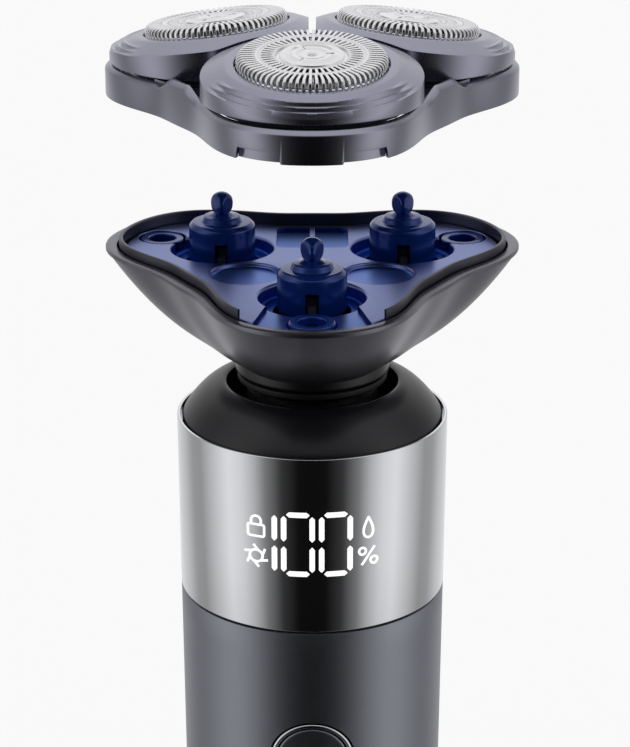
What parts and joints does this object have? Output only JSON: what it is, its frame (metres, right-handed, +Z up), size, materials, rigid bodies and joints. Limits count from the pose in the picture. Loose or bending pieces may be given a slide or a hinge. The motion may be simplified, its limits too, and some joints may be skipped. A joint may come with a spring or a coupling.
{
  "type": "rotary electric shaver",
  "caption": "Cordless rotary shaver: round handle with a power button, tilting geared head base, and a lift-off magnetic cap with floating cutting heads.",
  "frame": {"origin": "centre of the handle's flat base", "axes": "+Z up along the handle to the cutting heads; -Y is the front with the button, the display and the front cutting head"},
  "size_m": [0.0626, 0.0578, 0.18],
  "materials": {
    "grip": "fine matt dark grey",
    "sleeve": "polished dark smoked metal",
    "shoulder": "gloss black",
    "bowl": "satin-gloss dark grey",
    "deck": "satin lavender blue",
    "drive": "gloss navy blue",
    "cap": "satin metallic lavender grey",
    "bezel": "satin metallic grey",
    "steel": "ground steel",
    "brass": "drawn",
    "acetal": "moulded natural acetal",
    "rubber": "matt",
    "black": "moulded black",
    "board": "solder mask",
    "wrap": "shrink sleeve",
    "lens": "milky light pipe"
  },
  "bodies": {
    "handle": {"grip_shell": "grip", "display_sleeve": "sleeve", "shoulder_ring": "shoulder", "end_cap": "grip", "base_seal": "rubber", "base_screw_1": "steel", "base_screw_2": "steel", "chassis": "black", "battery_cell": "wrap", "motor_can": "steel", "motor_end_bell": "black", "main_board": "board", "usb_receptacle": "steel", "button_switch": "black", "button_gasket": "rubber", "button_trim_ring": "shoulder", "display_board": "board", "light_guide": "lens", "neck_socket": "black", "neck_bush": "brass"},
    "button": {"power_button": "grip"},
    "motor": {"motor_shaft": "steel", "motor_rotor": "brass"},
    "gimbal": {"gimbal_ring": "steel"},
    "head_base": {"neck_ring": "shoulder", "neck_boot": "rubber", "head_bowl": "bowl", "seal_band": "rubber", "deck_plate": "deck", "gear_floor": "black", "magnet_1": "steel", "magnet_2": "steel", "magnet_3": "steel"},
    "sun": {"sun_gear": "acetal"},
    "gear_1": {"driven_gear_1": "acetal", "spindle_spring_1": "steel"},
    "spindle_body_1": {"spindle_1": "drive"},
    "gear_2": {"driven_gear_2": "acetal", "spindle_spring_2": "steel"},
    "spindle_body_2": {"spindle_2": "drive"},
    "gear_3": {"driven_gear_3": "acetal", "spindle_spring_3": "steel"},
    "spindle_body_3": {"spindle_3": "drive"},
    "cap": {"cap_frame": "cap"},
    "head_1": {"bezel_1": "bezel", "carrier_ring_1": "black", "foil_1": "steel"},
    "cutter_1": {"cutter_blades_1": "steel", "cutter_hub_1": "acetal"},
    "head_2": {"bezel_2": "bezel", "carrier_ring_2": "black", "foil_2": "steel"},
    "cutter_2": {"cutter_blades_2": "steel", "cutter_hub_2": "acetal"},
    "head_3": {"bezel_3": "bezel", "carrier_ring_3": "black", "foil_3": "steel"},
    "cutter_3": {"cutter_blades_3": "steel", "cutter_hub_3": "acetal"}
  },
  "joints": [
    {"name": "power_button_press", "type": "slide", "parent": "handle", "child": "button", "axis": [0, 1, 0], "range_m": [0, 0.0006], "stiffness_N_per_m": 1500},
    {"name": "motor_spin", "type": "hinge", "parent": "handle", "child": "motor", "pos_m": [0, 0, 0.12332], "axis": [0, 0, 1], "continuous": true},
    {"name": "neck_pitch", "type": "hinge", "parent": "handle", "child": "gimbal", "pos_m": [0, 0, 0.12332], "axis": [1, 0, 0], "range_deg": [-8, 8], "stiffness_Nm_per_rad": 0.5},
    {"name": "neck_roll", "type": "hinge", "parent": "gimbal", "child": "head_base", "pos_m": [0, 0, 0.12332], "axis": [0, 1, 0], "range_deg": [-8, 8], "stiffness_Nm_per_rad": 0.5},
    {"name": "sun_spin", "type": "hinge", "parent": "head_base", "child": "sun", "pos_m": [0, 0, 0.12332], "axis": [0, 0, 1], "continuous": true},
    {"name": "gear_spin_1", "type": "hinge", "parent": "head_base", "child": "gear_1", "pos_m": [0, -0.01575, 0.13772], "axis": [0, 0, 1], "continuous": true},
    {"name": "gear_spin_2", "type": "hinge", "parent": "head_base", "child": "gear_2", "pos_m": [0.01364, 0.00788, 0.13772], "axis": [0, 0, 1], "continuous": true},
    {"name": "gear_spin_3", "type": "hinge", "parent": "head_base", "child": "gear_3", "pos_m": [-0.01364, 0.00788, 0.13772], "axis": [0, 0, 1], "continuous": true},
    {"name": "spindle_plunge_1", "type": "slide", "parent": "gear_1", "child": "spindle_body_1", "axis": [0, 0, 1], "range_m": [-0.0015, 0], "stiffness_N_per_m": 300, "deforming": ["spindle_spring_1"]},
    {"name": "spindle_plunge_2", "type": "slide", "parent": "gear_2", "child": "spindle_body_2", "axis": [0, 0, 1], "range_m": [-0.0015, 0], "stiffness_N_per_m": 300, "deforming": ["spindle_spring_2"]},
    {"name": "spindle_plunge_3", "type": "slide", "parent": "gear_3", "child": "spindle_body_3", "axis": [0, 0, 1], "range_m": [-0.0015, 0], "stiffness_N_per_m": 300, "deforming": ["spindle_spring_3"]},
    {"name": "cap_lift", "type": "slide", "parent": "head_base", "child": "cap", "axis": [0, 0, 1], "range_m": [-0.0231, 0]},
    {"name": "head_tilt_1", "type": "hinge", "parent": "cap", "child": "head_1", "pos_m": [0, -0.01575, 0.17167], "axis": [1, 0, 0], "range_deg": [-4, 2], "stiffness_Nm_per_rad": 0.06},
    {"name": "head_tilt_2", "type": "hinge", "parent": "cap", "child": "head_2", "pos_m": [0.01364, 0.00788, 0.17167], "axis": [-0.5, 0.866, 0], "range_deg": [-4, 2], "stiffness_Nm_per_rad": 0.06},
    {"name": "head_tilt_3", "type": "hinge", "parent": "cap", "child": "head_3", "pos_m": [-0.01364, 0.00788, 0.17167], "axis": [-0.5, -0.866, 0], "range_deg": [-4, 2], "stiffness_Nm_per_rad": 0.06},
    {"name": "cutter_spin_1", "type": "hinge", "parent": "head_1", "child": "cutter_1", "pos_m": [0, -0.01575, 0.1733], "axis": [0, -0.1349, 0.9909], "continuous": true},
    {"name": "cutter_spin_2", "type": "hinge", "parent": "head_2", "child": "cutter_2", "pos_m": [0.01364, 0.00788, 0.1733], "axis": [0.1168, 0.0674, 0.9909], "continuous": true},
    {"name": "cutter_spin_3", "type": "hinge", "parent": "head_3", "child": "cutter_3", "pos_m": [-0.01364, 0.00788, 0.1733], "axis": [-0.1168, 0.0674, 0.9909], "continuous": true}
  ],
  "couplings": [
    {"joint": "sun_spin", "follows": "motor_spin", "ratio": 1},
    {"joint": "gear_spin_1", "follows": "motor_spin", "ratio": -0.5},
    {"joint": "gear_spin_2", "follows": "motor_spin", "ratio": -0.5},
    {"joint": "gear_spin_3", "follows": "motor_spin", "ratio": -0.5},
    {"joint": "cutter_spin_1", "follows": "motor_spin", "ratio": -0.5},
    {"joint": "cutter_spin_2", "follows": "motor_spin", "ratio": -0.5},
    {"joint": "cutter_spin_3", "follows": "motor_spin", "ratio": -0.5}
  ]
}
